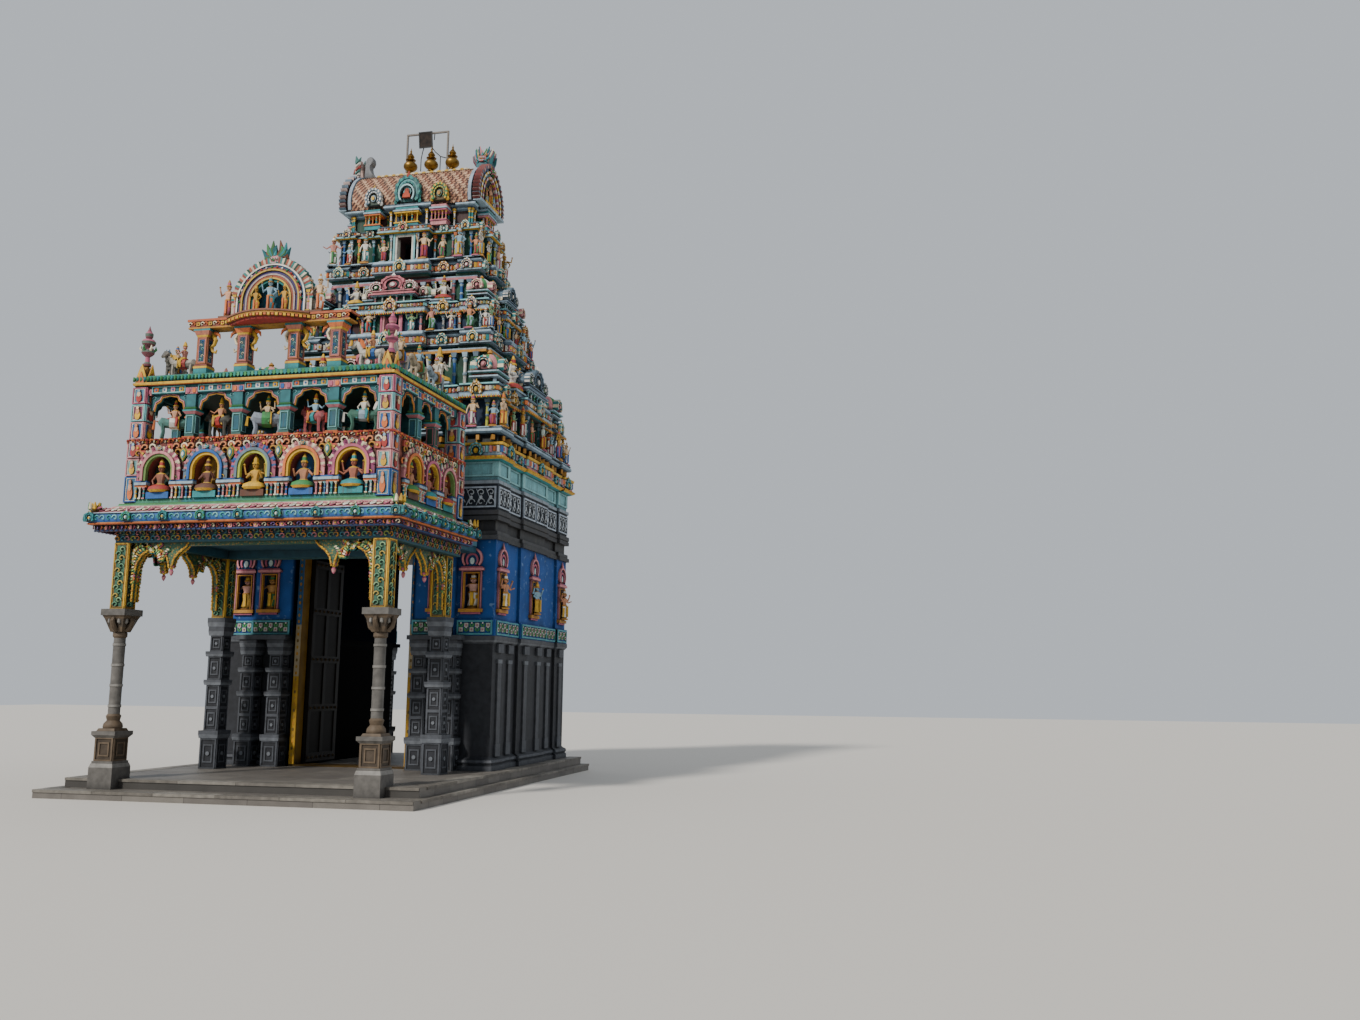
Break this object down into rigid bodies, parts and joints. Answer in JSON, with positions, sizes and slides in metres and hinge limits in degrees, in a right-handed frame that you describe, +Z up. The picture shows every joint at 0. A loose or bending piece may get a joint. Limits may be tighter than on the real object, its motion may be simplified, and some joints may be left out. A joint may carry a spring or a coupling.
{
  "type": "gopuram",
  "caption": "Small painted temple gateway tower with hollow figured storeys under a barrel roof, and a columned porch with an eave, open gallery and crowning arch in front.",
  "frame": {"origin": "centre of the lower step's footprint, on the ground", "axes": "+Z up, +X to the right across the front as one faces it, -Y out of the front"},
  "size_m": [7.3, 9.84, 15.65],
  "materials": {
    "granite": "worn, weathered dark",
    "step_stone": "worn slabs",
    "scroll_frieze": "dark ground with white scrolls",
    "teal_stucco": "painted stucco",
    "pink_stucco": "painted stucco",
    "blue_stucco": "painted stucco",
    "cyan_stucco": "painted stucco",
    "steel_blue_stucco": "painted stucco",
    "green_stucco": "painted stucco",
    "mustard_stucco": "painted stucco",
    "figure_stucco": "painted stucco",
    "roof_stucco": "painted scale tiles",
    "gate_wood": "painted",
    "gilt": "aged gilding",
    "galvanised": "dull zinc",
    "lamp_black": "satin"
  },
  "bodies": {
    "building": {"lower_step": "step_stone", "platform": "step_stone", "porch_column_front_left": "granite", "porch_column_front_right": "granite", "porch_pier_rear_left": "granite", "porch_pier_rear_right": "granite", "porch_frame": "teal_stucco", "porch_valance_front": "mustard_stucco", "porch_valance_left": "mustard_stucco", "porch_valance_right": "mustard_stucco", "porch_eave": "blue_stucco", "gallery_parapet": "pink_stucco", "gallery_riders": "figure_stucco", "gallery_arcade": "teal_stucco", "gallery_roof": "teal_stucco", "pinnacle_left": "pink_stucco", "pinnacle_right": "pink_stucco", "roof_beasts": "figure_stucco", "toranam_frame": "roof_stucco", "toranam_arch": "pink_stucco", "base_stone_left": "granite", "base_stone_right": "granite", "painted_wall_left": "blue_stucco", "painted_wall_right": "blue_stucco", "entablature": "scroll_frieze", "upper_wall": "cyan_stucco", "base_cornice": "teal_stucco", "tier_1_wall": "green_stucco", "tier_1_figures": "figure_stucco", "tier_1_shrines": "teal_stucco", "tier_1_upper_wall": "green_stucco", "cornice_2": "steel_blue_stucco", "tier_2_wall": "pink_stucco", "tier_2_figures": "figure_stucco", "tier_2_shrines": "pink_stucco", "tier_2_upper_wall": "green_stucco", "cornice_3": "steel_blue_stucco", "tier_3_wall": "green_stucco", "tier_3_figures": "figure_stucco", "tier_3_cornice": "steel_blue_stucco", "griva": "teal_stucco", "roof_barrel": "roof_stucco", "gable_left": "steel_blue_stucco", "gable_right": "steel_blue_stucco", "roof_ridge": "mustard_stucco", "roof_finial_left": "steel_blue_stucco", "roof_finial_right": "teal_stucco", "kalasam_1": "gilt", "kalasam_2": "gilt", "kalasam_3": "gilt", "lamp_frame": "galvanised", "flood_lamp": "lamp_black", "door_frame": "gate_wood"},
    "left_leaf": {"door_leaf_left": "gate_wood"},
    "right_leaf": {"door_leaf_right": "gate_wood"}
  },
  "joints": [
    {"name": "door_left_hinge", "type": "hinge", "parent": "building", "child": "left_leaf", "pos_m": [-1.25, 0.018, 2.5], "axis": [0, 0, -1], "range_deg": [0, 90]},
    {"name": "door_right_hinge", "type": "hinge", "parent": "building", "child": "right_leaf", "pos_m": [1.25, 0.018, 2.5], "axis": [0, 0, 1], "range_deg": [0, 90]}
  ]
}
